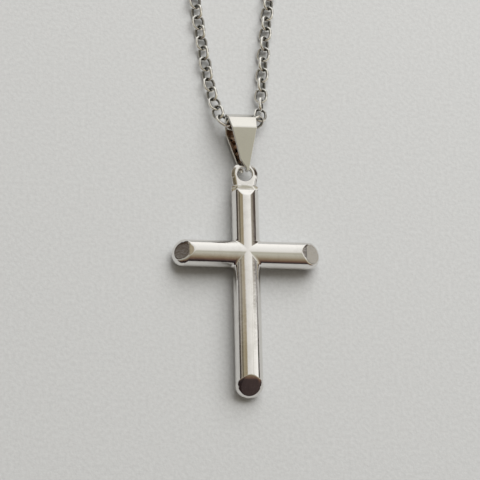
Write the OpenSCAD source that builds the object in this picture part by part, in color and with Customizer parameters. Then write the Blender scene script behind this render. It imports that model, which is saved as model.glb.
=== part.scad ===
// Cross pendant of round bar on a folded sheet bail and a cable chain, lying flat.
// The origin is on the resting surface, below the crossing of the bars.
// X runs along the arms, Y up the post towards the chain, Z away from the surface.

/* [Cross] */
// Diameter of the two round bars
bar_d = 4; // [3.4:0.1:5]
// Width over both arms
cross_w = 22.3; // [18:0.1:40]
// Length of the post below the crossing
post_below = 21.9; // [14:0.1:40]
// Length of the post above the crossing, without its loop
post_above = 10.75; // [8:0.05:20]
// Slant of the facet on each free end, in degrees
facet_tilt = 45; // [35:1:55]
// Depth of the facet beyond the centre of the round end
facet_depth = 0.5; // [0.3:0.02:0.9]
// Length of the shallow bevel at the top of the post
bevel_len = 2.45; // [2.2:0.05:2.6]
// Slope of that bevel, in degrees
bevel_tilt = 21; // [16:1:23]

/* [Loop of the cross] */
// Diameter of the hole in the loop
loop_hole_d = 2.2; // [2:0.1:3]
// Thickness of the loop's round wire
loop_wire_d = 0.92; // [0.7:0.02:1.1]
// Width over the loop's two legs where they meet the post
loop_foot_w = 3.5; // [3:0.1:3.8]

/* [Bail] */
// Length from the pegs to the top of the fold
bail_len = 9; // [8:0.05:12]
// Length from the pegs to the shoulder bends
bail_shoulder = 6.35; // [5.5:0.05:6.6]
// Length from the pegs to where each leaf begins to widen
bail_neck = 1.4; // [0.8:0.1:2.4]
// Width of the sheet at the top of the fold
bail_top_w = 4.6; // [3.8:0.1:6]
// Width of the sheet at the shoulder bends
bail_shoulder_w = 3.6; // [3:0.1:5]
// Width of each leaf where it narrows to its peg
bail_neck_w = 1.6; // [1.3:0.1:2]
// Thickness of the sheet
bail_sheet = 0.4; // [0.3:0.05:0.5]
// Outer diameter of the round fold at the top
bail_fold_d = 2.6; // [2.5:0.1:3.4]
// Slope of the flat faces between the fold and the shoulders, in degrees
bail_facet_tilt = 24; // [20:1:30]
// Width of each peg
peg_w = 0.5; // [0.4:0.05:0.6]
// Turn of the bail in the plane of the cross, in degrees
bail_turn = 3; // [0:0.5:8]
// Roll of the bail about its own length, in degrees
bail_roll = 7; // [0:1:12]

/* [Chain] */
// Width of a link over its wires
link_w = 2; // [1.8:0.1:2.1]
// Thickness of the link's wire
link_wire = 0.4; // [0.3:0.05:0.5]
// Distance from the bail to the middle of the clasp
chain_reach = 229.5; // [180:0.5:300]
// Radius of the round far end of the chain's loop
chain_round = 28; // [22:0.5:45]
// How far the clasp lies to the right of the bail
chain_sway = -0.75; // [-10:0.25:10]

/* [Clasp] */
// Outer diameter of the closing ring
clasp_d = 5; // [4:0.1:7]
// Thickness of the closing ring's wire
clasp_wire = 0.9; // [0.7:0.05:1]
// Outer diameter of the eye on the closing ring
eye_d = 2.4; // [2.2:0.1:3]
// Thickness of the eye's wire
eye_wire = 0.6; // [0.5:0.05:0.7]

/* [Clearances] */
// Gap between a peg and the edge of the loop's hole
peg_gap = 0.15; // [0.1:0.01:0.2]
// Gap between the two pegs, side by side
peg_spread = 0.14; // [0.1:0.01:0.2]
// Gap between the tips of the two pegs, front to back
tip_gap = 0.28; // [0.2:0.02:0.4]
// Gap between the loop and the leaf that passes over it
leaf_gap = 0.12; // [0.08:0.01:0.2]
// Height of the bail's lowest corner over the surface
rest_gap = 0.03; // [0.02:0.01:0.1]
// Gap between each end of the chain and the clasp
clasp_gap = 0.25; // [0.1:0.05:0.3]

/* [Hidden] */

$fn = 96;
wire_fn = 48;

bar_r = bar_d / 2;
axis_z = bar_r;
loop_r = loop_wire_d / 2;
hole_r = loop_hole_d / 2;

// The loop stands on the end of the post, with its wire sunk a little into the bar
loop_sink = 0.2;
loop_mid_r = hole_r + loop_r;
loop_y = post_above + loop_mid_r + loop_r - loop_sink;
leg_x = loop_foot_w / 2 - loop_r;
leg_len = norm([loop_mid_r - leg_x, loop_y - post_above]) + loop_sink;
leg_lean = atan((loop_mid_r - leg_x) / (loop_y - post_above));

// The cove in front of the loop ends level with the top of the loop's wire
bevel_drop = tan(bevel_tilt);
cove_r = (bar_r - loop_r - bevel_len * bevel_drop) / (1 - bevel_drop);

// The bail's own frame: x across the sheet, y from the pegs to the fold, z to the front
fold_r = bail_fold_d / 2;
fold_in_r = fold_r - bail_sheet;
fold_y = bail_len - fold_r;
fold_x_z = [fold_y + fold_r * sin(bail_facet_tilt), fold_r * cos(bail_facet_tilt)];
fold_in_x_z = [fold_y + fold_in_r * sin(bail_facet_tilt), fold_in_r * cos(bail_facet_tilt)];
shoulder_z = fold_x_z[1] + (fold_x_z[0] - bail_shoulder) * tan(bail_facet_tilt);
peg_half = bail_sheet / 2;
leaf_foot_z = loop_r + leaf_gap + bail_sheet;
leaf_slope = atan((shoulder_z - leaf_foot_z) / (bail_shoulder + peg_half));

// The inner shoulder bend lies one sheet inside the outer one, on the line that halves the bend
bend_half = (bail_facet_tilt + leaf_slope) / 2;
bend_turn = (bail_facet_tilt - leaf_slope) / 2;
shoulder_in = [
    bail_shoulder - bail_sheet / cos(bend_half) * sin(bend_turn),
    shoulder_z - bail_sheet / cos(bend_half) * cos(bend_turn)
];
leaf_foot_in_z = leaf_foot_z + (2 * peg_half) * tan(leaf_slope) - bail_sheet / cos(leaf_slope);

// Each leaf keeps to one side of the middle where it ends in its peg
peg_x = (peg_w + peg_spread) / 2;

// The pegs hang just under the top of the hole, and the bail leans back until it rests
peg_reach = peg_x + peg_w / 2;
bail_y = loop_y + sqrt(pow(hole_r, 2) - pow(peg_reach, 2)) - peg_half - peg_gap;
rest_reach = shoulder_z * cos(bail_roll) + bail_shoulder_w / 2 * sin(bail_roll);
rest_arm = norm([bail_shoulder, rest_reach]);
bail_pitch = atan(rest_reach / bail_shoulder) - asin((axis_z - rest_gap) / rest_arm);

// The chain's tube holds links that stand at 45 degrees to the surface
chain_r = (link_w - link_wire) / 2 * sin(45) + link_wire / 2;
tube_sides = 8;
tube_step = 12;

// The chain passes through the bail just below the centre of the fold
pass_drop = 0.2 * fold_r;
pass_point = bail_place([0, fold_y - pass_drop, 0]);

// Route of the chain near the bail. Each row is a point: across and along from its place in
// the bail, and its rise, from 0 where it lies on the surface to 1 at the height of that place.
near_route = [
    [-8.7, 39.5, 0], [-6.6, 22.5, 0], [-5.4, 13, 0], [-4.3, 6.4, 0.05], [-3.6, 3.2, 0.4],
    [-3.3, 1.4, 0.8], [-2.95, 0.3, 1.05], [-2.2, -0.15, 1.1], [-1.2, -0.1, 1.05], [0, 0, 1],
    [1.2, 0.1, 0.9], [2.2, 0.25, 0.8], [2.85, 0.75, 0.7], [3.15, 1.8, 0.5], [3.3, 3.6, 0.2],
    [3.5, 6.4, 0.05], [4, 12.5, 0], [5.1, 22.5, 0], [7.2, 39.5, 0]
];
near_points = [for (row = near_route) route_point(row)];

clasp_mid_r = (clasp_d - clasp_wire) / 2;
eye_mid_r = (eye_d - eye_wire) / 2;
eye_offset = clasp_mid_r + eye_mid_r;
clasp_len = clasp_d / 2 + eye_offset + eye_d / 2;
clasp_x = pass_point[0] + chain_sway + (clasp_len - clasp_d) / 2;
clasp_y = pass_point[1] + chain_reach;
trigger_angle = 60;

chain_start = [clasp_x - eye_offset - eye_d / 2 - clasp_gap, clasp_y, chain_r];
chain_end = [clasp_x + clasp_d / 2 + clasp_gap, clasp_y, chain_r];

// The far end of the loop is round, and its straight sides run from there to the route's ends
round_centre = [pass_point[0] + chain_sway, clasp_y - chain_round];
round_cuts = 6;
left_angle = 360 + touch_angle(near_points[0], -1);
right_angle = touch_angle(near_points[len(near_points) - 1], 1);
chain_rings = split_path(concat(
    [chain_start],
    [for (k = [1 : round_cuts]) round_point(90 + (left_angle - 90) * k / round_cuts)],
    near_points,
    [for (k = [round_cuts : -1 : 1]) round_point(90 + (right_angle - 90) * k / round_cuts)],
    [chain_end]
));

function route_point(row) = [
    pass_point[0] + row[0],
    pass_point[1] + row[1],
    chain_r + row[2] * (pass_point[2] - chain_r)
];

function round_point(a) = [
    round_centre[0] + chain_round * cos(a),
    round_centre[1] + chain_round * sin(a),
    chain_r
];

// Angle at which a straight side from point p touches the round end, on the side -1 or 1
function touch_angle(p, side) =
    let (away = [p[0] - round_centre[0], p[1] - round_centre[1]])
    atan2(away[1], away[0]) + side * acos(chain_round / norm(away));

// A point of the bail's own frame in the frame of the part
function bail_place(p) =
    let (across = p[0] * cos(bail_roll) + p[2] * sin(bail_roll))
    let (front = p[2] * cos(bail_roll) - p[0] * sin(bail_roll))
    let (along = p[1] * cos(bail_pitch) - front * sin(bail_pitch))
    let (rise = p[1] * sin(bail_pitch) + front * cos(bail_pitch))
    [
        across * cos(bail_turn) - along * sin(bail_turn),
        bail_y + across * sin(bail_turn) + along * cos(bail_turn),
        axis_z + rise
    ];

// The same path with its long straight stretches cut into steps
function split_path(path) = concat(
    [for (i = [0 : len(path) - 2])
        let (cuts = ceil(norm(path[i + 1] - path[i]) / tube_step))
        for (k = [0 : cuts - 1]) path[i] + (path[i + 1] - path[i]) * k / cuts],
    [path[len(path) - 1]]
);

function unit(v) = v / norm(v);

// Direction of the path at one of its points
function path_dir(path, i) = unit(
    (i < len(path) - 1 ? unit(path[i + 1] - path[i]) : [0, 0, 0])
    + (i > 0 ? unit(path[i] - path[i - 1]) : [0, 0, 0])
);

// One ring of the tube, wide enough for its flats to lie at the tube's radius
function tube_ring(centre, dir, r) =
    let (side = unit(cross(dir, [0, 0, 1])))
    let (up = cross(side, dir))
    let (corner_r = r / cos(180 / tube_sides))
    [for (k = [0 : tube_sides - 1])
        let (a = 360 * (k + 0.5) / tube_sides)
        centre + corner_r * (side * cos(a) + up * sin(a))];

module swept_tube(path, r) {
    rings = len(path);
    n = tube_sides;
    corners = [for (i = [0 : rings - 1]) each tube_ring(path[i], path_dir(path, i), r)];
    walls = [for (i = [0 : rings - 2], k = [0 : n - 1])
        [i * n + k, i * n + (k + 1) % n, (i + 1) * n + (k + 1) % n, (i + 1) * n + k]];
    first_cap = [for (k = [0 : n - 1]) n - 1 - k];
    last_cap = [for (k = [0 : n - 1]) (rings - 1) * n + k];
    polyhedron(points = corners, faces = concat([first_cap, last_cap], walls));
}

module torus(mid_r, wire_d) {
    rotate_extrude() translate([mid_r, 0]) circle(d = wire_d, $fn = wire_fn);
}

// A round bar along +Y from the crossing, with a ball end when it is a free one
module round_bar(len) {
    rotate([-90, 0, 0]) cylinder(d = bar_d, h = len - bar_r);
    translate([0, len - bar_r, 0]) sphere(d = bar_d);
}

// What the slanted facet takes off a free end that points along +Y
module facet_cut(len) {
    translate([0, len - bar_r, 0])
        rotate([-facet_tilt, 0, 0])
        translate([-bar_d, -bar_d, facet_depth])
        cube([2 * bar_d, 2 * bar_d, bar_d]);
}

// What the bevel and the cove take off the top of the post
module top_cut() {
    edge_y = post_above - cove_r;
    edge_z = bar_r - (bevel_len - cove_r) * bevel_drop;
    translate([0, post_above - bevel_len, bar_r])
        rotate([-bevel_tilt, 0, 0])
        translate([-bar_d, -bar_r, 0])
        cube([2 * bar_d, 2 * bar_d, bar_d]);
    translate([-bar_d, post_above, edge_z]) rotate([0, 90, 0]) cylinder(r = cove_r, h = 2 * bar_d);
    translate([-bar_d, edge_y, edge_z]) cube([2 * bar_d, bar_d, bar_d]);
}

module top_loop() {
    translate([0, loop_y, 0]) torus(loop_mid_r, loop_wire_d);
    for (side = [-1, 1])
        translate([side * loop_mid_r, loop_y, 0])
            rotate([90, 0, -side * leg_lean])
            cylinder(d = loop_wire_d, h = leg_len, $fn = wire_fn);
    // Web that fills the corners between the ring, its legs and the post
    difference() {
        translate([0, 0, -loop_r / 2])
            linear_extrude(loop_r)
            polygon([
                [-loop_mid_r, loop_y], [loop_mid_r, loop_y],
                [leg_x, post_above - loop_sink], [-leg_x, post_above - loop_sink]
            ]);
        translate([0, loop_y, 0]) cylinder(r = loop_mid_r, h = bar_d, center = true);
    }
}

module cross_solid() {
    color([0.78, 0.77, 0.74])
        translate([0, 0, axis_z]) {
            difference() {
                union() {
                    rotate([-90, 0, 0]) cylinder(d = bar_d, h = post_above);
                    rotate([0, 0, 180]) round_bar(post_below);
                    for (turn = [-90, 90]) rotate([0, 0, turn]) round_bar(cross_w / 2);
                }
                rotate([0, 0, 180]) facet_cut(post_below);
                for (turn = [-90, 90]) rotate([0, 0, turn]) facet_cut(cross_w / 2);
                top_cut();
            }
            top_loop();
        }
}

// Side view of the front half of the bail's strip, as along and front
module strip_profile() {
    difference() {
        union() {
            polygon([
                [fold_y, 0], fold_x_z, [bail_shoulder, shoulder_z],
                [-peg_half, leaf_foot_z], [-peg_half, 0]
            ]);
            translate([fold_y, 0]) circle(r = fold_r);
        }
        polygon([
            [fold_y, 0], fold_in_x_z, shoulder_in,
            [peg_half, leaf_foot_in_z], [peg_half, 0]
        ]);
        translate([fold_y, 0]) circle(r = fold_in_r);
        translate([-bail_sheet, -bail_sheet]) square([2 * bail_sheet, bail_sheet + tip_gap / 2]);
        translate([-bail_len, -2 * bail_len]) square([3 * bail_len, 2 * bail_len]);
    }
}

// Outline of the front leaf, as across and along. The back leaf has the same, turned half round.
module leaf_outline() {
    polygon([
        [-bail_top_w / 2, bail_len + bail_sheet], [bail_top_w / 2, bail_len + bail_sheet],
        [bail_shoulder_w / 2, bail_shoulder], [bail_neck_w / 2, bail_neck],
        [peg_x + peg_w / 2, peg_half], [peg_x + peg_w / 2, -bail_sheet],
        [peg_x - peg_w / 2, -bail_sheet], [peg_x - peg_w / 2, peg_half],
        [-bail_neck_w / 2, bail_neck], [-bail_shoulder_w / 2, bail_shoulder]
    ]);
}

module bail_half() {
    intersection() {
        translate([-bail_top_w, 0, 0])
            rotate([90, 0, 90])
            linear_extrude(2 * bail_top_w)
            strip_profile();
        linear_extrude(2 * shoulder_z) leaf_outline();
    }
}

module bail() {
    color([0.74, 0.73, 0.68])
        translate([0, bail_y, axis_z])
        rotate([0, 0, bail_turn])
        rotate([bail_pitch, 0, 0])
        rotate([0, bail_roll, 0])
        for (turn = [0, 180]) rotate([0, turn, 0]) bail_half();
}

module chain() {
    color([0.72, 0.71, 0.68]) swept_tube(chain_rings, chain_r);
}

module clasp() {
    color([0.75, 0.74, 0.71])
        translate([clasp_x, clasp_y, chain_r]) {
            torus(clasp_mid_r, clasp_wire);
            translate([-eye_offset, 0, 0]) torus(eye_mid_r, eye_wire);
            rotate([0, 0, trigger_angle])
                translate([clasp_mid_r, 0, 0])
                rotate([0, 90, 0])
                cylinder(d = eye_wire, h = clasp_wire);
        }
}

cross_solid();  // cross
bail();
chain();
clasp();
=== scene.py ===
"""Looks of a cross pendant on its cable chain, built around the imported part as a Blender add-on."""

import math
from itertools import product

import bpy
import numpy as np
from bpy.props import FloatProperty, FloatVectorProperty, IntProperty, PointerProperty
from bpy.types import Operator, Panel, PropertyGroup
from mathutils import Matrix, Vector


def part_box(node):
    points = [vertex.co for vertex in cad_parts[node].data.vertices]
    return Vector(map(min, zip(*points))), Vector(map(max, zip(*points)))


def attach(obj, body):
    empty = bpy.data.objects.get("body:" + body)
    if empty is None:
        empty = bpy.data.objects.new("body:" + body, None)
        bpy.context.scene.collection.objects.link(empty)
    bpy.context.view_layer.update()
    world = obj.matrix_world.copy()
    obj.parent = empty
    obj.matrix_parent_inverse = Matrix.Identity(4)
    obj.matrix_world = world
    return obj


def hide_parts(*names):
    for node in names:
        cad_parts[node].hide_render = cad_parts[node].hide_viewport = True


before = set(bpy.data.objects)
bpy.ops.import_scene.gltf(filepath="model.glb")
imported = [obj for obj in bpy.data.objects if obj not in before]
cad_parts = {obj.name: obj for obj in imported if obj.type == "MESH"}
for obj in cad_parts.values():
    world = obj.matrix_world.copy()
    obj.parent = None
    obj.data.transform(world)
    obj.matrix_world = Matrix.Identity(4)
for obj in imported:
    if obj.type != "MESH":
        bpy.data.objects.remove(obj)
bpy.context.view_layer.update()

bl_info = {
    "name": "Cross Pendant",
    "version": (1, 0, 0),
    "blender": (4, 5, 0),
    "location": "View3D > Sidebar > Pendant",
    "description": "Builds a polished cross pendant with its bail, cable chain and clasp",
    "category": "Object",
}

MM = 0.001
QUICK_GRAIN = 1.0


# Properties

def size(name, millimetres, description):
    """A length that a user may change, given in millimetres and kept in metres."""
    return FloatProperty(
        name=name, description=description, default=millimetres * MM, min=0.0,
        unit="LENGTH", precision=5,
    )


def angle(name, degrees, description):
    """An angle that a user may change, given in degrees and kept in radians."""
    return FloatProperty(
        name=name, description=description, default=math.radians(degrees), subtype="ANGLE"
    )


def colour(name, rgb, description):
    return FloatVectorProperty(
        name=name, description=description, default=rgb, size=3, min=0.0, max=4.0, subtype="COLOR"
    )


class CrossSizes(PropertyGroup):
    facet_tilt: angle("Facet tilt", 45, "Slant of a plain facet, as the solid has it")
    facet_depth: size("Facet depth", 0.5, "Depth at which a plain facet would cut the round end")
    bevel_len: size("Bevel length", 1.08, "Length of the shallow bevel at the top of the post")
    bevel_tilt: angle("Bevel tilt", 25, "Slope of that bevel")
    bevel_round: size("Bevel round", 0.06, "Softness of the bevel's edges")
    end_round: size("End round", 0.25, "Softness of the post's flat end")
    neck_len: size("Neck", 1.04, "Length of the low neck from the bevel to the post's flat end")
    cove_r: size("Cove", 0.9, "Radius of the hollow in the neck")
    cove_back: size("Cove back", 0.62, "Distance of the hollow's middle from the post's flat end")
    cove_sink: size("Cove sink", 0.15, "Depth of the hollow under the loop's top")
    neck_crown: size("Neck crown", 0.45, "How far the neck's top falls away at its sides")
    mitre_round: size("Mitre round", 0.45, "Fillet between the bars, halfway down their sides")
    hole_d: size("Loop hole", 2.2, "Diameter of the hole in the loop")
    wire_d: size("Loop band", 0.92, "Width and thickness of the band round the hole")
    foot_w: size("Loop foot", 3.2, "Width of the loop at the end of its foot")
    sink: size("Loop sink", 0.2, "Depth that the loop reaches into the post")
    foot_reach: size("Foot reach", 0.9, "Distance that the loop's foot reaches over the neck")
    flank_w: size("Flank width", 0.56, "Width of the slanted flank outside the loop's crest")
    flank_tilt: angle("Flank tilt", 34.3, "Slope of that flank")
    flank_round: size("Flank round", 0.1, "Roundness of the loop's outer side")
    hole_round: size("Hole round", 0.16, "Softness of the hole's edge")
    solder_round: size("Solder round", 0.08, "Fillet where the loop is soldered on, and of its flank")
    cell: size("Cell", 0.1, "Size of the mesh's faces")


class BailSizes(PropertyGroup):
    length: size("Length", 9.0, "From the pegs to the top of the fold")
    shoulder: size("Shoulder", 6.35, "From the pegs to the shoulder bends")
    neck: size("Neck", 1.4, "From the pegs to where each leaf begins to widen")
    top_w: size("Top width", 4.7, "Width of the sheet at the top of the fold")
    shoulder_w: size("Shoulder width", 3.9, "Width of the sheet at the shoulder bends")
    neck_w: size("Neck width", 1.6, "Width of each leaf where it narrows to its peg")
    sheet: size("Sheet", 0.4, "Thickness of the sheet")
    fold_d: size("Fold", 2.6, "Outer diameter of the round fold that the narrow faces replace")
    facet_tilt: angle("Facet tilt", 24, "Slope of the flat faces between the fold and the shoulders")
    peg_w: size("Peg width", 0.5, "Width of each peg")
    peg_gap: size("Peg gap", 0.15, "Gap between a peg and the edge of the loop's hole")
    peg_spread: size("Peg spread", 0.14, "Gap between the two pegs, side by side")
    tip_gap: size("Tip gap", 0.28, "Gap between the tips of the pegs, front to back")
    leaf_gap: size("Leaf gap", 0.12, "Gap between the loop and the leaf that passes over it")
    rest_gap: size("Rest gap", 0.03, "Height of the lowest corner over the surface")
    turn: angle("Turn", 3.4, "Turn of the bail in the plane of the cross")
    roll: angle("Roll", 7, "Roll of the bail about its own length")
    top_tilt: angle("Top tilt", 55, "Slope of the narrow faces that meet in the fold")
    bend_round: size("Bend round", 0.08, "Softness of the sheet's bends")
    # Width of the rim along the sheet's edges that the painted shade inside leaves out
    unshaded_rim: size("Polished rim", 0.2, "Width of the polished rim along the sheet's inside")
    edge_round: size("Edge round", 0.12, "Softness of the sheet's edges")
    cell: size("Cell", 0.065, "Size of the mesh's faces")


class ChainSizes(PropertyGroup):
    link_w: size("Link width", 2.2, "Width of a link over its wires")
    link_len: size("Link length", 2.72, "Length of a link over its wires")
    wire: size("Wire", 0.48, "Thickness of the link's wire")
    pitch: size("Pitch", 1.76, "Distance from one link to the next")
    reach: size("Reach", 229.5, "Distance from the bail to the middle of the clasp")
    round_r: size("Round end", 27.84, "Radius of the round far end of the loop")
    sway: FloatProperty(
        name="Sway", description="How far the clasp lies to the right of the bail",
        default=-0.7 * MM, unit="LENGTH", precision=5,
    )
    lie: angle("Lie", 33, "Slope of a link across the chain, to the left and right in turn")
    jitter: angle("Jitter", 5, "Most that a link rolls away from its neighbours' pattern")
    seed: IntProperty(name="Seed", description="Seed of the links' small rolls", default=4, min=0)


class ClaspSizes(PropertyGroup):
    ring_d: size("Ring", 5.0, "Outer diameter of the closing ring")
    ring_wire: size("Ring wire", 0.9, "Thickness of the closing ring")
    eye_d: size("Eye", 2.4, "Outer diameter of the eye on the closing ring")
    eye_wire: size("Eye wire", 0.6, "Thickness of the eye's wire")
    trigger_angle: angle("Trigger angle", 60, "Where the small trigger stands on the ring")
    cell: size("Cell", 0.08, "Size of the mesh's faces")


class FinishLook(PropertyGroup):
    steel: colour("Steel", (0.80, 0.785, 0.76), "Colour of the polished steel")
    bail_steel: colour("Bail steel", (0.715, 0.70, 0.66), "Colour of the bail's steel")
    chain_steel: colour("Chain steel", (0.93, 0.92, 0.88), "Colour of the chain's steel")
    dull: colour("Dull steel", (0.60, 0.58, 0.55), "Colour of the steel where its polish is worn")
    # Painted shade: the dark colour on the inner side of each link's wire
    painted_link_shade: colour("Tarnish", (0.10, 0.094, 0.08), "Colour of the steel inside the links")
    # Painted shade: the dark brown colour inside the bail's fold
    painted_bail_shade: colour("Unpolished steel", (0.55, 0.46, 0.39), "Colour of the steel inside the bail")
    surface: colour("Surface", (0.645, 0.66, 0.68), "Colour of the surface that the pendant lies on")


class StageSizes(PropertyGroup):
    distance: size("Camera distance", 265, "Distance from the lens to the cross")
    view_angle: angle("View angle", 14.985, "Angle that the camera sees across the picture")
    camera_roll: angle("Camera roll", 1.29, "Turn of the camera about its line of sight")
    floor_size: size("Floor", 1600, "Width of the surface")
    key_power: FloatProperty(
        name="Key power", description="Power of the window light", default=4.2, unit="POWER"
    )


# Solid forms, as distances that are below zero inside, and the meshes of their surfaces

# Points go to the surface in small steps, first from their cells and then after each evening out
FIRST_STEPS = 5
LATER_STEPS = 2
EVEN_ROUNDS = 4
# Share of a cell over which a form's slope is measured, and the least square of that slope
SLOPE_SHARE = 1 / 20
LEAST_SLOPE = 0.1
# Empty cells left round a form's box, before and after it
CELLS_BEFORE, CELLS_AFTER = 2, 3


def round_max(a, b, r):
    """What two forms share, with the edge between them rounded."""
    return np.minimum(np.maximum(a, b), -r) + np.hypot(np.maximum(a + r, 0), np.maximum(b + r, 0))


def round_min(a, b, r):
    """Two forms joined, with a fillet between them."""
    return -round_max(-a, -b, r)


def rod_form(p, start, end, r):
    """A rod with ball ends."""
    start = np.array(start)
    axis = np.array(end) - start
    along = np.clip((p - start) @ axis / (axis @ axis), 0, 1)
    return np.linalg.norm(p - start - along[..., None] * axis, axis=-1) - r


def ring_form(p, centre, mid_r, wire_r):
    """A ring of round wire that lies flat."""
    q = p - np.array(centre)
    return np.hypot(np.hypot(q[..., 0], q[..., 1]) - mid_r, q[..., 2]) - wire_r


def form_slope(form, points, step):
    """The form's slope at each point."""
    slope = np.empty_like(points)
    for k in range(3):
        shift = np.zeros(3)
        shift[k] = step
        slope[:, k] = (form(points + shift) - form(points - shift)) / (2 * step)
    return slope


def onto_surface(form, points, step, rounds):
    """Moves points along the form's slope until they lie on its surface."""
    for _ in range(rounds):
        slope = form_slope(form, points, step)
        share = form(points) / np.maximum((slope ** 2).sum(1), LEAST_SLOPE)
        points = points - share[:, None] * slope
    return points


def cell_quads(inside, number):
    """One quad for each grid edge that crosses the surface, through the four cells round that edge."""
    quads = []
    for a in range(3):
        b, c = (a + 1) % 3, (a + 2) % 3
        first = np.take(inside, range(inside.shape[a] - 1), axis=a)
        second = np.take(inside, range(1, inside.shape[a]), axis=a)
        at = np.argwhere(first != second)
        back_b, back_c = np.eye(3, dtype=int)[b], np.eye(3, dtype=int)[c]
        around = [at - back_b - back_c, at - back_c, at, at - back_b]
        quad = np.stack([number[tuple(q.T)] for q in around], axis=1)
        leaves = first[tuple(at.T)]
        quads.append(np.where(leaves[:, None], quad, quad[:, ::-1]))
    return np.concatenate(quads)


def even_out(points, quads):
    """Each point moved to the middle of its neighbours."""
    ends = np.concatenate([quads[:, [k, (k + 1) % 4]] for k in range(4)])
    here, there = ends.T
    count = np.bincount(here, minlength=len(points))
    sums = [np.bincount(here, weights=points[there, k], minlength=len(points)) for k in range(3)]
    return np.stack(sums, axis=1) / count[:, None]


def surface_mesh(name, form, low, high, cell):
    """A smooth quad mesh of a form's surface, from a grid of cells over its box."""
    cell = cell * QUICK_GRAIN
    starts = [low[k] - CELLS_BEFORE * cell for k in range(3)]
    axes = [np.arange(starts[k], high[k] + CELLS_AFTER * cell, cell) for k in range(3)]
    grid = np.stack(np.meshgrid(*axes, indexing="ij"), axis=-1)
    inside = form(grid) < 0
    ends = [slice(None, -1), slice(1, None)]
    corners = sum(inside[corner].astype(np.int8) for corner in product(ends, repeat=3))
    crossed = (corners > 0) & (corners < 8)
    number = np.full(crossed.shape, -1)
    number[crossed] = np.arange(crossed.sum())
    quads = cell_quads(inside, number)
    step = cell * SLOPE_SHARE
    points = onto_surface(form, grid[:-1, :-1, :-1][crossed] + cell / 2, step, FIRST_STEPS)
    for _ in range(EVEN_ROUNDS):
        points = onto_surface(form, even_out(points, quads), step, LATER_STEPS)
    points = onto_surface(form, points, step, LATER_STEPS)
    mesh = bpy.data.meshes.new(name)
    mesh.from_pydata(points, [], quads.tolist())
    mesh.polygons.foreach_set("use_smooth", [True] * len(quads))
    slope = form_slope(form, points, step)
    normals = slope / np.linalg.norm(slope, axis=1)[:, None]
    mesh.normals_split_custom_set_from_vertices(normals)
    return mesh


def mark_painted_shade(mesh, form):
    """Stores how much painted shade each point of the mesh gets, from 0 to 1."""
    points = np.empty(len(mesh.vertices) * 3)
    mesh.vertices.foreach_get("co", points)
    painted_shade = mesh.attributes.new("painted_shade", "FLOAT", "POINT")
    painted_shade.data.foreach_set("value", form(points.reshape(-1, 3)))


def new_object(name, data):
    """An object in the scene, at the origin."""
    made = bpy.data.objects.new(name, data)
    bpy.context.scene.collection.objects.link(made)
    return made


def new_piece(name, mesh, material):
    """An object of one material."""
    piece = new_object(name, mesh)
    mesh.materials.clear()
    mesh.materials.append(material)
    return piece


def settle(piece, node):
    """The piece stands for its CAD node and rides on the part's one body."""
    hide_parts(node)
    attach(piece, "root")


# The cross

def cross_layout():
    """The cross's places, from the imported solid's box and the sizes of its ends and loop."""
    s = bpy.context.scene.pendant_cross
    low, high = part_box("cross")
    bar_r = (high.z - low.z) / 2
    cut_r = bar_r * (1 - math.cos(math.acos(s.facet_depth / bar_r) - s.facet_tilt))
    wire_r = s.wire_d / 2
    mid_r = s.hole_d / 2 + wire_r
    loop_y = high.y - mid_r - wire_r
    return {
        "bar_r": bar_r, "wire_r": wire_r, "mid_r": mid_r, "loop_y": loop_y, "low": low, "high": high,
        "arm": high.x + cut_r, "below": cut_r - low.y, "above": loop_y - mid_r - wire_r + s.sink,
    }


# Free ends of the bars, in millimetres and degrees. Each has its direction and the length trimmed off its
# bar. Its flat facet has a tilt, a distance from the middle of the round end and a soft rim. The small brow
# leads from the facet up to the bar's crest. It has a tilt, the distance that it starts back from that
# middle, and the softness of its edge.
ENDS = {
    "left": {
        "out": (-1, 0, 0), "trim": 0, "tilt": 42.5, "depth": 0.86, "rim": 0.65,
        "brow_tilt": 18, "brow_back": 1.42, "brow_round": 0.06,
    },
    "right": {
        "out": (1, 0, 0), "trim": 0.2, "tilt": 39, "depth": 1.07, "rim": 0.22,
        "brow_tilt": 28, "brow_back": 0.98, "brow_round": 0.04,
    },
    "bottom": {
        "out": (0, -1, 0), "trim": 0, "tilt": 47.5, "depth": 0.57, "rim": 0.65,
        "brow_tilt": 38, "brow_back": 1.18, "brow_round": 0.04,
    },
}


# The rim's softness grows from its least share to the whole, from this far back of the round end's middle
# and over this length, both as shares of the bar's radius
RIM_BACK, RIM_GROWTH, RIM_LEAST = 0.5, 0.65, 0.08


def slant(along, height, tilt, through):
    """Distance over a plane that falls away outwards, through a point along the bar and in height."""
    return (along - through[0]) * math.sin(tilt) + (height - through[1]) * math.cos(tilt)


def free_bar(p, end, length, at):
    """A bar from the crossing to a ball end with its slanted facet and brow."""
    r = at["bar_r"]
    out = np.array(end["out"], float)
    length = length - end["trim"] * MM
    bar = rod_form(p, (0, 0, 0), out * (length - r), r)
    along, height = p @ out - (length - r), p[..., 2]
    tilt = math.radians(end["tilt"])
    facet = slant(along, height, tilt, (end["depth"] * MM / math.sin(tilt), 0))
    brow = slant(along, height, math.radians(end["brow_tilt"]), (-end["brow_back"] * MM, r))
    # The rim's softness fades out under the brow
    rim = end["rim"] * MM * np.clip((along / r + RIM_BACK) / RIM_GROWTH, RIM_LEAST, 1)
    return round_max(round_max(bar, facet, rim), brow, end["brow_round"] * MM)


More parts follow.
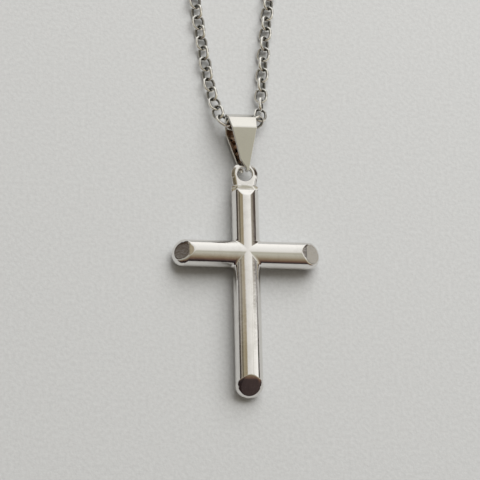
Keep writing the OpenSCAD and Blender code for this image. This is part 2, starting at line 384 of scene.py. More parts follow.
def top_bar(p, at, s):
    """The bar above the crossing, with its bevel, its cove and its flat end."""
    r, top = at["bar_r"], at["above"]
    y, z = p[..., 1], p[..., 2]
    # The neck is crowned, so it falls away towards its sides
    crowned = z + s.neck_crown * (1 - np.sqrt(np.clip(1 - (p[..., 0] / r) ** 2, 0, 1)))
    bar = rod_form(p, (0, 0, 0), (0, top + r, 0), r)
    bevel = slant(y, z, s.bevel_tilt, (top - s.neck_len - s.bevel_len, r))
    floor_z = at["wire_r"] - s.cove_sink
    hollow = np.hypot(y - top + s.cove_back, crowned - floor_z - s.cove_r) - s.cove_r
    cove = np.maximum(np.minimum(hollow, floor_z + s.cove_r - crowned), top - s.neck_len - y)
    bar = round_max(bar, y - top, s.end_round)
    return round_max(round_max(bar, bevel, s.bevel_round), -cove, s.bevel_round)


def loop_form(p, at, s):
    """The loop, a flat-topped band round the hole with a slanted flank outside, down to the post."""
    x, y, z = np.abs(p[..., 0]), p[..., 1] - at["loop_y"], np.abs(p[..., 2])
    thick, outer_r = at["wire_r"], at["mid_r"] + at["wire_r"]
    foot = at["loop_y"] - at["above"] + s.foot_reach
    lean = math.atan2(outer_r - s.foot_w / 2, foot)
    side = (x - outer_r) * math.cos(lean) - y * math.sin(lean)
    legs = np.maximum(np.maximum(side, y), -foot - y)
    outline = np.minimum(np.hypot(x, y) - outer_r, legs)
    hole = outer_r - 2 * thick - np.hypot(x, y)
    band = round_max(z - thick, hole, s.hole_round)
    flank = slant(outline, z, s.flank_tilt, (-s.flank_w, thick))
    band = round_max(band, flank, s.solder_round)
    return round_max(band, outline, s.flank_round)


def cross_form(points, at, s):
    """The whole cross, with its lower side on the surface."""
    p = points - np.array([0, 0, at["bar_r"]])
    post = np.minimum(top_bar(p, at, s), free_bar(p, ENDS["bottom"], at["below"], at))
    arms = np.minimum(*(free_bar(p, ENDS[side], at["arm"], at) for side in ("left", "right")))
    # The fillet between the bars fades out towards their front and back
    fade = np.clip(1 - (p[..., 2] / at["bar_r"]) ** 2, 0, 1)
    bars = round_min(post, arms, s.mitre_round * fade)
    return round_min(bars, loop_form(p, at, s), s.solder_round)


# The bail

def bail_layout():
    """The bail's sizes and its place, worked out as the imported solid's are."""
    s = bpy.context.scene.pendant_bail
    at = cross_layout()
    fold_r = s.fold_d / 2
    fold_y = s.length - fold_r
    fold_top = (fold_y + fold_r * math.sin(s.facet_tilt), fold_r * math.cos(s.facet_tilt))
    shoulder_z = fold_top[1] + (fold_top[0] - s.shoulder) * math.tan(s.facet_tilt)
    foot_z = at["wire_r"] + s.leaf_gap + s.sheet
    slope = math.atan2(shoulder_z - foot_z, s.shoulder + s.sheet / 2)
    peg_x = (s.peg_w + s.peg_spread) / 2
    hole_r = at["mid_r"] - at["wire_r"]
    peg_y = math.sqrt(hole_r ** 2 - (peg_x + s.peg_w / 2) ** 2)
    hang_y = at["loop_y"] + peg_y - s.sheet / 2 - s.peg_gap
    # It leans until the lowest corner of its back leaf is the rest gap over the surface
    reach = shoulder_z * math.cos(s.roll) + s.shoulder_w / 2 * math.sin(s.roll)
    drop = (at["bar_r"] - s.rest_gap) / math.hypot(s.shoulder, reach)
    pitch = math.atan2(reach, s.shoulder) - math.asin(drop)
    place = (
        Matrix.Translation((0, hang_y, at["bar_r"])) @ Matrix.Rotation(s.turn, 4, "Z")
        @ Matrix.Rotation(pitch, 4, "X") @ Matrix.Rotation(s.roll, 4, "Y")
    )
    return {
        "fold_r": fold_r, "fold_y": fold_y, "fold_top": fold_top, "shoulder_z": shoulder_z,
        "slope": slope, "peg_x": peg_x, "place": place,
    }


def bail_places(points, b):
    """Places in the bail's own frame, with the back leaf turned onto the front one."""
    turn = np.array(b["place"].inverted())
    p = points @ turn[:3, :3].T + turn[:3, 3]
    side = np.where(p[..., 2] < 0, -1, 1)
    return p[..., 0] * side, p[..., 1], np.abs(p[..., 2])


def bail_outside(y, z, b, s):
    """Outside of the folded sheet: the narrow face at the fold, the facet, the leaf and the foot."""
    facet = slant(y, z, s.facet_tilt, b["fold_top"])
    fold = slant(y, z, s.top_tilt, b["fold_top"])
    leaf = slant(y, z, -b["slope"], (s.shoulder, b["shoulder_z"]))
    outside = round_max(round_max(facet, fold, s.bend_round), leaf, s.bend_round)
    return round_max(outside, -s.sheet / 2 - y, s.bend_round)


def bail_outline(x, y, b, s):
    """The sheet's outline, seen square onto it, from the pegs up to the fold."""
    heights = [0, s.sheet / 2, s.neck, s.shoulder, s.length + s.sheet]
    right = [b["peg_x"] + s.peg_w / 2] * 2 + [s.neck_w / 2, s.shoulder_w / 2, s.top_w / 2]
    left = [b["peg_x"] - s.peg_w / 2] * 2 + [-s.neck_w / 2, -s.shoulder_w / 2, -s.top_w / 2]
    return np.maximum(x - np.interp(y, heights, right), np.interp(y, heights, left) - x)


# Share of the sheet's thickness where the painted shade on its inside begins, and over which it becomes full
INSIDE_START, INSIDE_BLEND = 0.7, 0.2


def bail_painted_shade(points, b, s):
    """Painted shade on the sheet's inside, where the leaves shade each other, but for a rim along its edges.
    """
    x, y, z = bail_places(points, b)
    inner = np.clip((-bail_outside(y, z, b, s) / s.sheet - INSIDE_START) / INSIDE_BLEND, 0, 1)
    return inner * np.clip((-bail_outline(x, y, b, s) - s.unshaded_rim) / s.unshaded_rim, 0, 1)


def bail_form(points, b, s):
    """The folded sheet, cut to its outline and open between the tips of its pegs."""
    x, y, z = bail_places(points, b)
    outside = bail_outside(y, z, b, s)
    sheet = np.abs(outside + s.sheet / 2) - s.sheet / 2
    tips = np.minimum(s.tip_gap / 2 - z, s.neck - y)
    sheet = np.maximum(sheet, tips)
    return round_max(sheet, bail_outline(x, y, b, s), s.edge_round)


# The chain

# Route near the bail, in millimetres. Each row is a point: across and along from the chain's place in
# the bail, its rise, from 0 on the surface to 1 at the height of that place, and the links' twist there.
NEAR_ROUTE = [
    (-8.7, 39.5, 0, 12), (-6.6, 22.5, 0, 14), (-5.4, 13, 0, 14), (-4.4, 6.6, 0.05, 16),
    (-3.75, 3.7, 0.4, 14), (-3.4, 2, 0.8, 8), (-2.95, 0.75, 1.05, 4), (-2.2, 0.1, 1.1, 0),
    (-1.2, -0.05, 1.05, 0), (0, 0, 1, 0), (1.2, 0.1, 0.9, 0), (2.2, 0.25, 0.8, 10),
    (2.85, 0.75, 0.7, 30), (3.15, 1.8, 0.5, 42), (3.3, 3.6, 0.2, 36), (3.5, 6.4, 0.05, 18),
    (4, 12.5, 0, 12), (5.1, 22.5, 0, 12), (7.2, 39.5, 0, 10),
]
# The chain passes this share of the fold's radius under the fold's middle
PASS_DROP = 0.2
# Points along each side of the far round, and the links' twist in degrees there
ROUND_CUTS = 6
ROUND_TWIST = 8
# Times that the route's corners are cut
CORNER_CUTS = 4


def clasp_layout():
    """Places of the clasp's ring and eye, from the solid's box."""
    s = bpy.context.scene.pendant_clasp
    low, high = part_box("clasp")
    ring_mid = (s.ring_d - s.ring_wire) / 2
    eye_mid = (s.eye_d - s.eye_wire) / 2
    centre = Vector((high.x - s.ring_d / 2, (low.y + high.y) / 2, (low.z + high.z) / 2))
    return {
        "ring_mid": ring_mid, "eye_mid": eye_mid, "eye_offset": ring_mid + eye_mid, "centre": centre,
    }


def touch_angle(point, centre, r, side):
    """Angle at which a straight side from a point touches the round end."""
    away = point - centre
    return math.atan2(away[1], away[0]) + side * math.acos(r / math.hypot(away[0], away[1]))


def chain_route():
    """Rows of x, y, z and twist along the chain's middle, from the clasp's eye round to its ring."""
    s = bpy.context.scene.pendant_chain
    b = bail_layout()
    c, clasp = clasp_layout(), bpy.context.scene.pendant_clasp
    low = c["centre"].z
    start = b["place"] @ Vector((0, b["fold_y"] - PASS_DROP * b["fold_r"], 0))
    near = [
        np.array((start.x + row[0] * MM, start.y + row[1] * MM, low + row[2] * (start.z - low), row[3]))
        for row in NEAR_ROUTE
    ]
    middle = np.array((start.x + s.sway, start.y + s.reach - s.round_r))
    left = 2 * math.pi + touch_angle(near[0][:2], middle, s.round_r, -1)
    right = touch_angle(near[-1][:2], middle, s.round_r, 1)

    def round_row(end, k):
        a = math.pi / 2 + (end - math.pi / 2) * k / ROUND_CUTS
        x, y = middle + s.round_r * np.array((math.cos(a), math.sin(a)))
        return np.array((x, y, low, ROUND_TWIST))

    # The end links reach through the eye and the ring, against the inside of their wire
    half_link = (s.link_len - s.wire) / 2
    in_eye = c["eye_offset"] + c["eye_mid"] - clasp.eye_wire / 2 - s.wire / 2 + half_link
    in_ring = c["ring_mid"] - clasp.ring_wire / 2 - s.wire / 2 + half_link
    rows = [np.array((c["centre"].x - in_eye, c["centre"].y, low, 0))]
    rows += [round_row(left, k) for k in range(1, ROUND_CUTS + 1)]
    rows += near
    rows += [round_row(right, k) for k in range(ROUND_CUTS, 0, -1)]
    rows += [np.array((c["centre"].x + in_ring, c["centre"].y, low, 0))]
    return np.array(rows)


def cut_corners(rows, rounds):
    """The same path with its corners cut over and over, which leaves it smooth."""
    for _ in range(rounds):
        first, second = rows[:-1], rows[1:]
        cut = np.stack([first * 0.75 + second * 0.25, first * 0.25 + second * 0.75], axis=1)
        rows = np.concatenate([rows[:1], cut.reshape(-1, rows.shape[1])[1:-1], rows[-1:]])
    return rows


class Tree:
    """A node tree under construction, with short ways to add, set and join its nodes."""

    def __init__(self, tree):
        self.tree = tree
        self.column = 0

    def add(self, kind, settings=None, **inputs):
        node = self.tree.nodes.new(kind)
        node.location = (self.column, 0)
        self.column += 180
        for key, value in (settings or {}).items():
            setattr(node, key, value)
        for key, value in inputs.items():
            self.feed(node, key.replace("_", " "), value)
        return node

    def feed(self, node, name, value):
        """Joins or sets the first enabled input of that name, or the input of that number."""
        if isinstance(name, int):
            socket = node.inputs[name]
        else:
            wanted = name.lower()
            socket = next(i for i in node.inputs if i.enabled and i.name.lower() == wanted)
        if isinstance(value, bpy.types.NodeSocket):
            self.tree.links.new(value, socket)
        else:
            socket.default_value = value

    def math(self, operation, first, second=0.0, third=None):
        node = self.add("ShaderNodeMath", {"operation": operation})
        for k, value in enumerate((first, second, third)):
            if value is not None:
                self.feed(node, k, value)
        return node.outputs[0]

    def vector(self, x=0.0, y=0.0, z=0.0):
        return self.add("ShaderNodeCombineXYZ", X=x, Y=y, Z=z).outputs[0]

    def scale(self, vector, factor):
        node = self.add("ShaderNodeVectorMath", {"operation": "SCALE"}, Vector=vector, Scale=factor)
        return node.outputs[0]

    def between(self, value, ends, to=(0.0, 1.0), **settings):
        """Where a value lies between two ends, from 0 to 1 or over another range."""
        return self.add(
            "ShaderNodeMapRange", settings, Value=value, From_Min=ends[0], From_Max=ends[1],
            To_Min=to[0], To_Max=to[1],
        ).outputs[0]

    def mix(self, mask, first, second):
        """The first colour where the mask is 0, and the second where it is 1."""
        node = self.add("ShaderNodeMix", {"data_type": "RGBA"}, Factor=mask)
        self.feed(node, "A", first)
        self.feed(node, "B", second)
        return next(o for o in node.outputs if o.enabled)

    def noise(self, place, scale, detail, roughness):
        return self.add(
            "ShaderNodeTexNoise", Vector=place, Scale=scale, Detail=detail, Roughness=roughness
        ).outputs[0]

    def surface(self, tone, height, strength, depth, **settings):
        """Ends a material with a bumped surface of that tone. The bumps' depth is in millimetres."""
        bump = self.add("ShaderNodeBump", Height=height, Strength=strength, Distance=depth * MM)
        shader = self.add("ShaderNodeBsdfPrincipled", **settings)
        self.feed(shader, "Base Color", tone)
        self.feed(shader, "Normal", bump.outputs[0])
        self.add("ShaderNodeOutputMaterial", Surface=shader.outputs[0])


def fresh_tree(owner):
    """The emptied node tree of a material or a world."""
    owner.use_nodes = True
    owner.node_tree.nodes.clear()
    return Tree(owner.node_tree)


def new_group(name, kind, given, made):
    """A node group with the sockets that it is given and those that it makes."""
    group = bpy.data.node_groups.new(name, kind)
    for in_out, sockets in (("INPUT", given), ("OUTPUT", made)):
        for label, socket in sockets.items():
            group.interface.new_socket(label, in_out=in_out, socket_type="NodeSocket" + socket)
    return group


# Sides of a link and of its wire
LINK_SIDES = 12
WIRE_SIDES = 6
# Step in metres to which a point's place along a link is cut down before its end is told
MIDDLE_SNAP = 0.0001
# The painted shade comes in over this range, inwards from the wire's middle, in wire thicknesses
PAINTED_LINK_SHADE_RANGE = (-0.08, 0.3)


def chain_tree():
    """Links of round wire set along a path, lying over to the left and to the right in turn."""
    sockets = {
        "Path": "Geometry", "Links": "Int", "Link width": "Float", "Link length": "Float",
        "Wire": "Float", "Lie": "Float", "Height": "Float", "Jitter": "Float", "Seed": "Int",
        "Metal": "Material",
    }
    tree = new_group("Cable chain", "GeometryNodeTree", sockets, {"Chain": "Geometry"})
    t = Tree(tree)
    given = t.add("NodeGroupInput").outputs

    # One link: a circle of wire pulled out along X
    wire_r = t.math("MULTIPLY", given["Wire"], 0.5)
    side_r = t.math("MULTIPLY", t.math("SUBTRACT", given["Link width"], given["Wire"]), 0.5)
    circle = t.add("GeometryNodeCurvePrimitiveCircle", Resolution=LINK_SIDES, Radius=side_r)
    place = t.add("GeometryNodeInputPosition").outputs[0]
    x, y = t.add("ShaderNodeSeparateXYZ", Vector=place).outputs[:2]
    stretch = t.math("MULTIPLY", t.math("SUBTRACT", given["Link length"], given["Link width"]), 0.5)
    pull = t.math("MULTIPLY", t.math("SIGN", t.math("SNAP", x, MIDDLE_SNAP)), stretch)
    oval = t.add("GeometryNodeSetPosition", Geometry=circle.outputs[0], Offset=t.vector(pull))
    wire = t.add("GeometryNodeCurvePrimitiveCircle", Resolution=WIRE_SIDES, Radius=wire_r)
    bare = t.add("GeometryNodeCurveToMesh", Curve=oval.outputs[0], Profile_Curve=wire.outputs[0])
    # The side of the wire that faces into the link gets painted shade, where the links shade each other
    left_end = t.math("MULTIPLY", stretch, -1.0)
    beyond = t.math("SUBTRACT", x, t.math("MAXIMUM", t.math("MINIMUM", x, stretch), left_end))
    length = t.add("ShaderNodeVectorMath", {"operation": "LENGTH"}, Vector=t.vector(beyond, y))
    inward = t.math("DIVIDE", t.math("SUBTRACT", side_r, length.outputs["Value"]), given["Wire"])
    floats = {"data_type": "FLOAT"}
    link = t.add("GeometryNodeStoreNamedAttribute", floats, Geometry=bare.outputs[0], Name="painted_shade")
    t.feed(link, "Value", t.between(inward, PAINTED_LINK_SHADE_RANGE))

    # Where each link goes, how it is rolled and how high its lower side lets it lie
    curve = t.add("GeometryNodeMeshToCurve", Mesh=given["Path"])
    spots = t.add("GeometryNodeCurveToPoints", {"mode": "COUNT"}, Curve=curve.outputs[0])
    t.feed(spots, "Count", given["Links"])
    index = t.add("GeometryNodeInputIndex").outputs[0]
    side = t.math("MULTIPLY_ADD", t.math("MODULO", index, 2.0), 2.0, -1.0)
    turn = t.math("MULTIPLY", side, given["Lie"])
    twist = t.add("GeometryNodeInputNamedAttribute", floats, Name="twist").outputs["Attribute"]
    least, most = t.math("MULTIPLY", given["Jitter"], -1.0), given["Jitter"]
    random = t.add("FunctionNodeRandomValue", floats, Min=least, Max=most, Seed=given["Seed"])
    shake = next(o for o in random.outputs if o.enabled)
    roll = t.math("ADD", t.math("ADD", turn, twist), shake)
    lower = t.math("MULTIPLY_ADD", t.math("ABSOLUTE", t.math("SINE", roll)), side_r, wire_r)
    lift = t.math("MAXIMUM", t.math("SUBTRACT", lower, given["Height"]), 0.0)
    spread = t.add("GeometryNodeSetPosition", Geometry=spots.outputs["Points"], Offset=t.vector(z=lift))
    facing = t.add("FunctionNodeAxesToRotation", {"primary_axis": "X", "secondary_axis": "Z"})
    t.feed(facing, 0, spots.outputs["Tangent"])
    t.feed(facing, 1, (0.0, 0.0, 1.0))
    rolled = t.add("FunctionNodeAxisAngleToRotation", Axis=(1.0, 0.0, 0.0), Angle=roll)
    turned = t.add("FunctionNodeRotateRotation", {"rotation_space": "LOCAL"})
    t.feed(turned, 0, facing.outputs[0])
    t.feed(turned, 1, rolled.outputs[0])
    links = t.add("GeometryNodeInstanceOnPoints", Points=spread.outputs[0], Instance=link.outputs[0])
    t.feed(links, "Rotation", turned.outputs[0])
    real = t.add("GeometryNodeRealizeInstances", Geometry=links.outputs[0])
    smooth = t.add("GeometryNodeSetShadeSmooth", Geometry=real.outputs[0])
    painted = t.add("GeometryNodeSetMaterial", Geometry=smooth.outputs[0], Material=given["Metal"])
    t.add("NodeGroupOutput", Chain=painted.outputs[0])
    return tree


# Finishes

# Noise scales for each metre: worn patches, hair scratches along X, Y and Z, slow waves and fine ripples
PATCH_SCALE = 420.0
HAIR_SCALE = (900.0, 9000.0, 5000.0)
WAVE_SCALE = 260.0
RIPPLE_SCALE = 2400.0
# Noise values between which a patch or a scratch comes in
PATCH_RANGE = (0.48, 0.72)
HAIR_RANGE = (0.58, 0.75)
# Roughness of clean metal, and what full wear and a full scratch add to it
CLEAN_ROUGH, WORN_ROUGH, SCRATCH_ROUGH = 0.07, 0.16, 0.12
# Share of the ripples in the waviness, and the depth of a scratch beside it
RIPPLE_SHARE = 0.14
SCRATCH_DEPTH = 0.02
# Height of the marks in millimetres
MARK_DEPTH = 0.02
# The board's grain: its noise scale, its height in millimetres, and the noise values and shades it spans
GRAIN_SCALE = 1900.0
GRAIN_DEPTH = 0.05
GRAIN_RANGE = (0.35, 0.65)
GRAIN_SHADES = (0.95, 1.04)


def polish_group():
    """Fine scratches and worn patches in polished metal, shared by every steel finish."""
    sockets = {"Position": "Vector", "Scratches": "Float", "Wear": "Float", "Waviness": "Float"}
    made = {"Roughness": "Float", "Worn": "Float", "Height": "Float"}
    group = new_group("Polish marks", "ShaderNodeTree", sockets, made)
    t = Tree(group)
    given = t.add("NodeGroupInput").outputs
    place = given["Position"]
    patch = t.between(t.noise(place, PATCH_SCALE, 5.0, 0.65), PATCH_RANGE)
    stretched = t.add("ShaderNodeMapping", Vector=place, Scale=HAIR_SCALE).outputs[0]
    hair = t.between(t.noise(stretched, 1.0, 3.0, 0.7), HAIR_RANGE)
    waves = t.noise(place, WAVE_SCALE, 1.0, 0.4)
    ripples = t.noise(place, RIPPLE_SCALE, 1.0, 0.5)
    uneven = t.math("MULTIPLY_ADD", ripples, RIPPLE_SHARE, waves)
    worn = t.math("MULTIPLY", patch, given["Wear"])
    scratched = t.math("MULTIPLY", hair, given["Scratches"])
    base = t.math("MULTIPLY_ADD", scratched, SCRATCH_ROUGH, CLEAN_ROUGH)
    rough = t.math("ADD", t.math("MULTIPLY", worn, WORN_ROUGH), base)
    waved = t.math("MULTIPLY", uneven, given["Waviness"])
    height = t.math("SUBTRACT", waved, t.math("MULTIPLY", scratched, SCRATCH_DEPTH))
    t.add("NodeGroupOutput", Roughness=rough, Worn=worn, Height=height)
    return group


def steel(name, tone, painted_shade_tone, scratches, wear, waviness):
    """A polished steel finish. The amounts say how scratched, worn and wavy this piece is.

    The mesh's painted shade attribute leads over to the tone of painted shade.
    """
    look = bpy.context.scene.pendant_finish
    material = bpy.data.materials.new(name)
    t = fresh_tree(material)
    place = t.add("ShaderNodeTexCoord").outputs["Object"]
    mark = t.add("ShaderNodeGroup", {"node_tree": shared_marks()})
    marks = {"Position": place, "Scratches": scratches, "Wear": wear, "Waviness": waviness}
    for key, value in marks.items():
        t.feed(mark, key, value)
    tint = t.mix(mark.outputs["Worn"], (*tone, 1), (*look.dull, 1))
    # Painted shade: the attribute darkens the colour towards the painted shade tone
    painted_shade = t.add("ShaderNodeAttribute", {"attribute_name": "painted_shade"}).outputs["Fac"]
    tone = t.mix(painted_shade, tint, (*painted_shade_tone, 1))
    rough = mark.outputs["Roughness"]
    t.surface(tone, mark.outputs["Height"], 1.0, MARK_DEPTH, Metallic=1.0, Roughness=rough)
    return material


def surface_finish():
    """A pale, faintly grained board."""
    look = bpy.context.scene.pendant_finish
    material = bpy.data.materials.new("pale_board")
    t = fresh_tree(material)
    place = t.add("ShaderNodeTexCoord").outputs["Object"]
    grain = t.noise(place, GRAIN_SCALE, 3.0, 0.6)
    shade = t.between(grain, GRAIN_RANGE, GRAIN_SHADES)
    t.surface(t.scale(tuple(look.surface), shade), grain, 0.6, GRAIN_DEPTH, Roughness=0.75)
    return material


_shared = {}


def shared_marks():
    """The one group of polish marks, made when it is first asked for."""
    if "marks" not in _shared:
        _shared["marks"] = polish_group()
    return _shared["marks"]


# The stage

# What the polished metal mirrors, as tones of the studio by angle in degrees. Ahead runs from the near
# side's horizon, at -90, over the zenith to the window's foot at 90. Sideways runs the same way, left to
# right. A side tone also has its cover, from 0, where the tones ahead show, to 1.
AHEAD = [
    (-90, (0.026, 0.016, 0.015)), (-81, (0.029, 0.022, 0.022)), (-72, (0.062, 0.044, 0.042)),
    (-62, (0.16, 0.095, 0.068)), (-52, (0.225, 0.165, 0.11)), (-40, (0.32, 0.265, 0.19)),
    (-27, (0.43, 0.39, 0.31)), (-10, (0.53, 0.515, 0.44)), (2, (0.49, 0.475, 0.40)),
    (11, (0.80, 0.78, 0.73)), (17, (0.87, 0.855, 0.82)), (45, (0.99, 0.985, 0.96)),
    (68, (1.13, 1.12, 1.09)), (90, (1.15, 1.14, 1.11)),
]
LEFT_WALL = [
    (-90, (0.02, 0.014, 0.01), 1), (-83, (0.024, 0.016, 0.012), 1), (-81, (0.08, 0.061, 0.047), 1),
    (-74.7, (0.085, 0.065, 0.05), 1), (-71.7, (0.42, 0.39, 0.34), 1), (-67, (0.36, 0.32, 0.26), 1),
    (-60, (0.13, 0.11, 0.075), 1), (-55, (0.17, 0.14, 0.09), 1), (-47, (0.38, 0.33, 0.23), 1),
]
LEFT_HIGH = LEFT_WALL + [
    (-32, (0.33, 0.27, 0.165), 1), (-27, (0.40, 0.35, 0.26), 1), (-24, (0.7, 0.68, 0.62), 0),
]
LEFT_LOW = LEFT_WALL + [
    (-26, (0.33, 0.27, 0.165), 1), (-20, (0.36, 0.30, 0.20), 1), (-16, (0.7, 0.68, 0.62), 0),
]
RIGHT_HIGH = [
    (38, (0.42, 0.38, 0.33), 0), (42, (0.40, 0.36, 0.31), 1), (52, (0.30, 0.27, 0.22), 1),
    (61, (0.19, 0.155, 0.125), 1), (70, (0.085, 0.065, 0.055), 1), (85, (0.06, 0.045, 0.04), 1),
    (87.5, (0.385, 0.355, 0.30), 1), (90, (0.385, 0.355, 0.30), 1),
]
RIGHT_LOW = [
    (26, (0.66, 0.64, 0.58), 0), (30, (0.66, 0.64, 0.58), 0.8), (34, (0.66, 0.64, 0.58), 0),
    (73, (0.08, 0.055, 0.045), 0), (77, (0.05, 0.035, 0.03), 1), (90, (0.05, 0.035, 0.03), 1),
]
# The side walls fade in and out between these heights of the view ahead
WALL_FOOT = (0.05, 0.15)
WALL_TOP = (0.42, 0.54)
# Far out to the sides they have no upper end
WALL_SIDE = (0.4, 0.55)
# The low walls lead over to the high ones between these heights
WALL_STEP = (0.28, 0.345)
BACKDROP = (0.66, 0.65, 0.62)
# The near wall is darker to the left: its tones shift by this many degrees for each unit sideways of
# the middle, by no more than the limit, and fully from this angle on
NEAR_SHIFT = 200
NEAR_MIDDLE = 0.12
NEAR_LIMIT = 8.0
NEAR_FULL = -30.0
# The window is brighter to the right of its own middle
WINDOW_SLOPE = 0.26
WINDOW_MIDDLE = 0.1
# Share of the studio's light that falls on the surface
FLOOR_SHARE = 0.6


def studio_world():
    """A soft studio: a bright window ahead, dim warm walls at the sides and darkness low on the near side."""
    world = bpy.data.worlds.new("Studio")
    t = fresh_tree(world)
    look = t.add("ShaderNodeTexCoord").outputs["Generated"]
    x, y, z = t.add("ShaderNodeSeparateXYZ", Vector=look).outputs

    def tones(angle, stops):
        """The tone and its cover at an angle, from stops that rise from left to right."""
        ramp = t.add("ShaderNodeValToRGB", Fac=t.between(angle, (-90.0, 90.0)))
        elements = ramp.color_ramp.elements
        while len(elements) < len(stops):
            elements.new(0.5)
        for element, stop in zip(elements, stops):
            element.position = (stop[0] + 90) / 180
            element.color = (*stop[1], stop[2] if len(stop) > 2 else 1)
        return ramp.outputs

    def smooth_step(value, ends):
        return t.between(value, ends, interpolation_type="SMOOTHSTEP")

    turn = 180 / math.pi
    ahead = t.math("MULTIPLY", t.math("ARCTAN2", y, z), turn)
    sideways = t.math("MULTIPLY", t.math("ARCTAN2", x, z), turn)
    shift = t.math("MULTIPLY", t.math("SUBTRACT", x, NEAR_MIDDLE), NEAR_SHIFT)
    shift = t.math("MINIMUM", t.math("MAXIMUM", shift, -NEAR_LIMIT), NEAR_LIMIT)
    near = t.between(ahead, (0.0, NEAR_FULL))
    shade = tones(t.math("MULTIPLY_ADD", shift, near, ahead), AHEAD)["Color"]
    gain = t.math("MULTIPLY_ADD", x, WINDOW_SLOPE, 1 - WINDOW_SLOPE * WINDOW_MIDDLE)
    shade = t.scale(shade, gain)
    high = smooth_step(y, WALL_STEP)
    inner = t.math("SUBTRACT", 1.0, smooth_step(t.math("ABSOLUTE", x), WALL_SIDE))
    above = t.math("MULTIPLY", smooth_step(y, WALL_TOP), inner)
    walls = t.math("SUBTRACT", smooth_step(y, WALL_FOOT), above)
    upper = t.math("MULTIPLY", high, walls)
    lower = t.math("MULTIPLY", t.math("SUBTRACT", 1.0, high), walls)
    sides = ((LEFT_HIGH, upper), (LEFT_LOW, lower), (RIGHT_HIGH, upper), (RIGHT_LOW, lower))
    for stops, share in sides:
        side = tones(sideways, stops)
        shade = t.mix(t.math("MULTIPLY", side["Alpha"], share), shade, side["Color"])
    path = t.add("ShaderNodeLightPath").outputs
    shade = t.mix(path["Is Camera Ray"], shade, (*BACKDROP, 1))
    strength = t.math("MULTIPLY_ADD", path["Is Diffuse Ray"], FLOOR_SHARE - 1, 1.0)
    sky = t.add("ShaderNodeBackground", Color=shade, Strength=strength)
    t.add("ShaderNodeOutputWorld", Surface=sky.outputs[0])
    bpy.context.scene.world = world


# Direction from the cross to the camera
CAMERA_TOWARD = (-0.141, -0.34, 0.93)
# The crest over the crossing shows at this pixel of the 480 by 480 picture
CROSSING_PX = (248.3, 250.1)
HALF_PICTURE_PX = 240


def add_camera():
    """The camera, at the photograph's angle to the cross."""
    s = bpy.context.scene.pendant_stage
    toward = Vector(CAMERA_TOWARD).normalized()
    right = Vector((0, 1, 0)).cross(toward).normalized()
    up = toward.cross(right)
    c, k = math.cos(s.camera_roll), math.sin(s.camera_roll)
    right, up = c * right - k * up, k * right + c * up
    focal_px = HALF_PICTURE_PX / math.tan(s.view_angle / 2)
    crest = Vector((0, 0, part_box("cross")[1].z))
    aside, down = ((pixel - HALF_PICTURE_PX) / focal_px for pixel in CROSSING_PX)
    eye = crest + s.distance * (toward - right * aside + up * down)
    data = bpy.data.cameras.new("Camera")
    data.lens_unit = "FOV"
    data.angle = s.view_angle
    data.clip_start = 0.01
    camera = new_object("Camera", data)
    facing = Matrix((right, up, toward)).transposed().to_4x4()
    camera.matrix_world = Matrix.Translation(eye) @ facing
    bpy.context.scene.camera = camera


# Direction to the window light, its distance and size in metres, and its colour
KEY_TOWARD = (0.33, 0.6, 0.82)
KEY_DISTANCE = 0.65
KEY_SIZE = 0.7
KEY_COLOUR = (1.0, 0.985, 0.95)


def add_key_light():
    """Window light from the upper right, which lights the surface and casts the soft shadows."""
    s = bpy.context.scene.pendant_stage
    data = bpy.data.lights.new("Window light", "AREA")
    data.shape = "DISK"
    data.size = KEY_SIZE
    data.energy = s.key_power
    data.color = KEY_COLOUR
    light = new_object("Window light", data)
    toward = Vector(KEY_TOWARD).normalized()
    light.location = toward * KEY_DISTANCE
    light.rotation_euler = toward.to_track_quat("Z", "Y").to_euler()
    # The metal mirrors the studio's own window, so this light isn't doubled in it
    light.visible_glossy = False


def add_floor():
    """The pale surface that the pendant lies on."""
    s = bpy.context.scene.pendant_stage
    half = s.floor_size / 2
    corners = [(-half, -half, 0), (half, -half, 0), (half, half, 0), (-half, half, 0)]
    mesh = bpy.data.meshes.new("floor")
    mesh.from_pydata(corners, [], [(0, 1, 2, 3)])
    floor = new_piece("floor", mesh, surface_finish())


# Operators

class PENDANT_OT_cross(Operator):
    """Builds the cross of round bar, with its facets and its loop, as one polished piece"""
    bl_idname = "pendant.build_cross"
    bl_label = "Build Cross"

    def execute(self, context):
        s, look = context.scene.pendant_cross, context.scene.pendant_finish
        at = cross_layout()
        low, high = at["low"], at["high"]
        mesh = surface_mesh("cross_body", lambda p: cross_form(p, at, s), low, high, s.cell)
        material = steel("polished_steel", look.steel, look.dull, 1.0, 0.35, 1.0)
        settle(new_piece("cross_body", mesh, material), "cross")
        return {"FINISHED"}


class PENDANT_OT_bail(Operator):
    """Builds the folded sheet bail, hooked through the cross's loop"""
    bl_idname = "pendant.build_bail"
    bl_label = "Build Bail"

    def execute(self, context):
        s, look = context.scene.pendant_bail, context.scene.pendant_finish
        b = bail_layout()
        low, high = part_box("bail")
        mesh = surface_mesh("bail_sheet", lambda p: bail_form(p, b, s), low, high, s.cell)
        # The bail's inside gets painted shade
        mark_painted_shade(mesh, lambda p: bail_painted_shade(p, b, s))
        material = steel("bail_steel", look.bail_steel, look.painted_bail_shade, 0.7, 0.3, 0.5)
        settle(new_piece("bail_sheet", mesh, material), "bail")
        return {"FINISHED"}


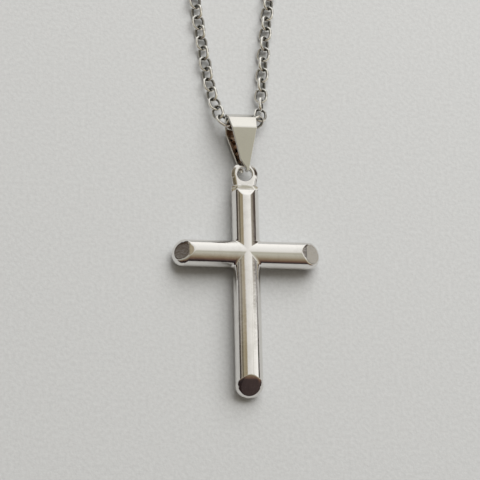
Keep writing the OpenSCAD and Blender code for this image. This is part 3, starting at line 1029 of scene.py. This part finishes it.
class PENDANT_OT_chain(Operator):
    """Sets the cable chain's links along its route, through the bail and the clasp"""
    bl_idname = "pendant.build_chain"
    bl_label = "Build Chain"

    def execute(self, context):
        s, look = context.scene.pendant_chain, context.scene.pendant_finish
        rows = cut_corners(chain_route(), CORNER_CUTS)
        length = np.linalg.norm(np.diff(rows[:, :3], axis=0), axis=1).sum()
        mesh = bpy.data.meshes.new("chain_path")
        mesh.from_pydata(rows[:, :3].tolist(), [(k, k + 1) for k in range(len(rows) - 1)], [])
        twist = mesh.attributes.new("twist", "FLOAT", "POINT")
        twist.data.foreach_set("value", np.radians(rows[:, 3]))
        path = new_object("chain_path", mesh)
        tree = chain_tree()
        links = path.modifiers.new("Links", "NODES")
        links.node_group = tree
        # The links' inner sides take the painted shade colour
        material = steel("chain_steel", look.chain_steel, look.painted_link_shade, 0.5, 0.4, 0.3)
        values = {
            "Links": 1 + round(length / s.pitch), "Link width": s.link_w, "Link length": s.link_len,
            "Wire": s.wire, "Lie": s.lie, "Height": clasp_layout()["centre"].z,
            "Jitter": s.jitter, "Seed": s.seed, "Metal": material,
        }
        for socket in tree.interface.items_tree:
            if socket.in_out == "INPUT" and socket.name in values:
                links[socket.identifier] = values[socket.name]
        depsgraph = context.evaluated_depsgraph_get()
        chain = bpy.data.meshes.new_from_object(path.evaluated_get(depsgraph), depsgraph=depsgraph)
        path.modifiers.remove(links)
        bpy.data.objects.remove(path)
        if not chain.polygons:
            raise RuntimeError("the chain's links came out empty")
        settle(new_piece("chain_links", chain, material), "chain")
        return {"FINISHED"}


# Softness in millimetres of the joins between the clasp's ring, eye and trigger
JOIN_ROUND = 0.1


class PENDANT_OT_clasp(Operator):
    """Builds the round clasp with its eye and trigger"""
    bl_idname = "pendant.build_clasp"
    bl_label = "Build Clasp"

    def execute(self, context):
        s, look = context.scene.pendant_clasp, context.scene.pendant_finish
        c = clasp_layout()
        low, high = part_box("clasp")
        centre = c["centre"]
        out = Vector((math.cos(s.trigger_angle), math.sin(s.trigger_angle), 0))
        eye_centre = centre - Vector((c["eye_offset"], 0, 0))
        knob_foot = centre + out * c["ring_mid"]
        knob_top = centre + out * (c["ring_mid"] + s.ring_wire - s.eye_wire / 2)
        join = JOIN_ROUND * MM

        def form(p):
            ring = ring_form(p, centre, c["ring_mid"], s.ring_wire / 2)
            eye = ring_form(p, eye_centre, c["eye_mid"], s.eye_wire / 2)
            knob = rod_form(p, knob_foot, knob_top, s.eye_wire / 2)
            return round_min(round_min(ring, eye, join), knob, join)

        mesh = surface_mesh("clasp_ring", form, low, high, s.cell)
        material = steel("clasp_steel", look.steel, look.dull, 0.6, 0.3, 0.5)
        settle(new_piece("clasp_ring", mesh, material), "clasp")
        return {"FINISHED"}


class PENDANT_OT_stage(Operator):
    """Sets the pale surface, the soft studio light and the camera"""
    bl_idname = "pendant.set_stage"
    bl_label = "Set Stage"

    def execute(self, context):
        add_camera()
        add_floor()
        add_key_light()
        studio_world()
        context.scene.view_settings.view_transform = "Standard"
        return {"FINISHED"}


OPERATORS = (PENDANT_OT_stage, PENDANT_OT_cross, PENDANT_OT_bail, PENDANT_OT_chain, PENDANT_OT_clasp)


class VIEW3D_PT_pendant(Panel):
    """Lists the steps that build the pendant"""
    bl_label = "Cross Pendant"
    bl_space_type = "VIEW_3D"
    bl_region_type = "UI"
    bl_category = "Pendant"

    def draw(self, context):
        for operator in OPERATORS:
            self.layout.operator(operator.bl_idname)
        for group in GROUPS:
            self.layout.label(text=group.replace("pendant_", "").title())
            settings = getattr(context.scene, group)
            for key in settings.__annotations__:
                self.layout.prop(settings, key)


GROUPS = {
    "pendant_cross": CrossSizes,
    "pendant_bail": BailSizes,
    "pendant_chain": ChainSizes,
    "pendant_clasp": ClaspSizes,
    "pendant_finish": FinishLook,
    "pendant_stage": StageSizes,
}


def register():
    for kind in (*GROUPS.values(), *OPERATORS, VIEW3D_PT_pendant):
        bpy.utils.register_class(kind)
    for name, kind in GROUPS.items():
        setattr(bpy.types.Scene, name, PointerProperty(type=kind))


def unregister():
    for name in GROUPS:
        delattr(bpy.types.Scene, name)
    for kind in reversed((*GROUPS.values(), *OPERATORS, VIEW3D_PT_pendant)):
        bpy.utils.unregister_class(kind)


def main():
    register()
    bpy.ops.pendant.set_stage()
    bpy.ops.pendant.build_cross()
    bpy.ops.pendant.build_bail()
    bpy.ops.pendant.build_chain()
    bpy.ops.pendant.build_clasp()


if __name__ == "__main__":
    main()
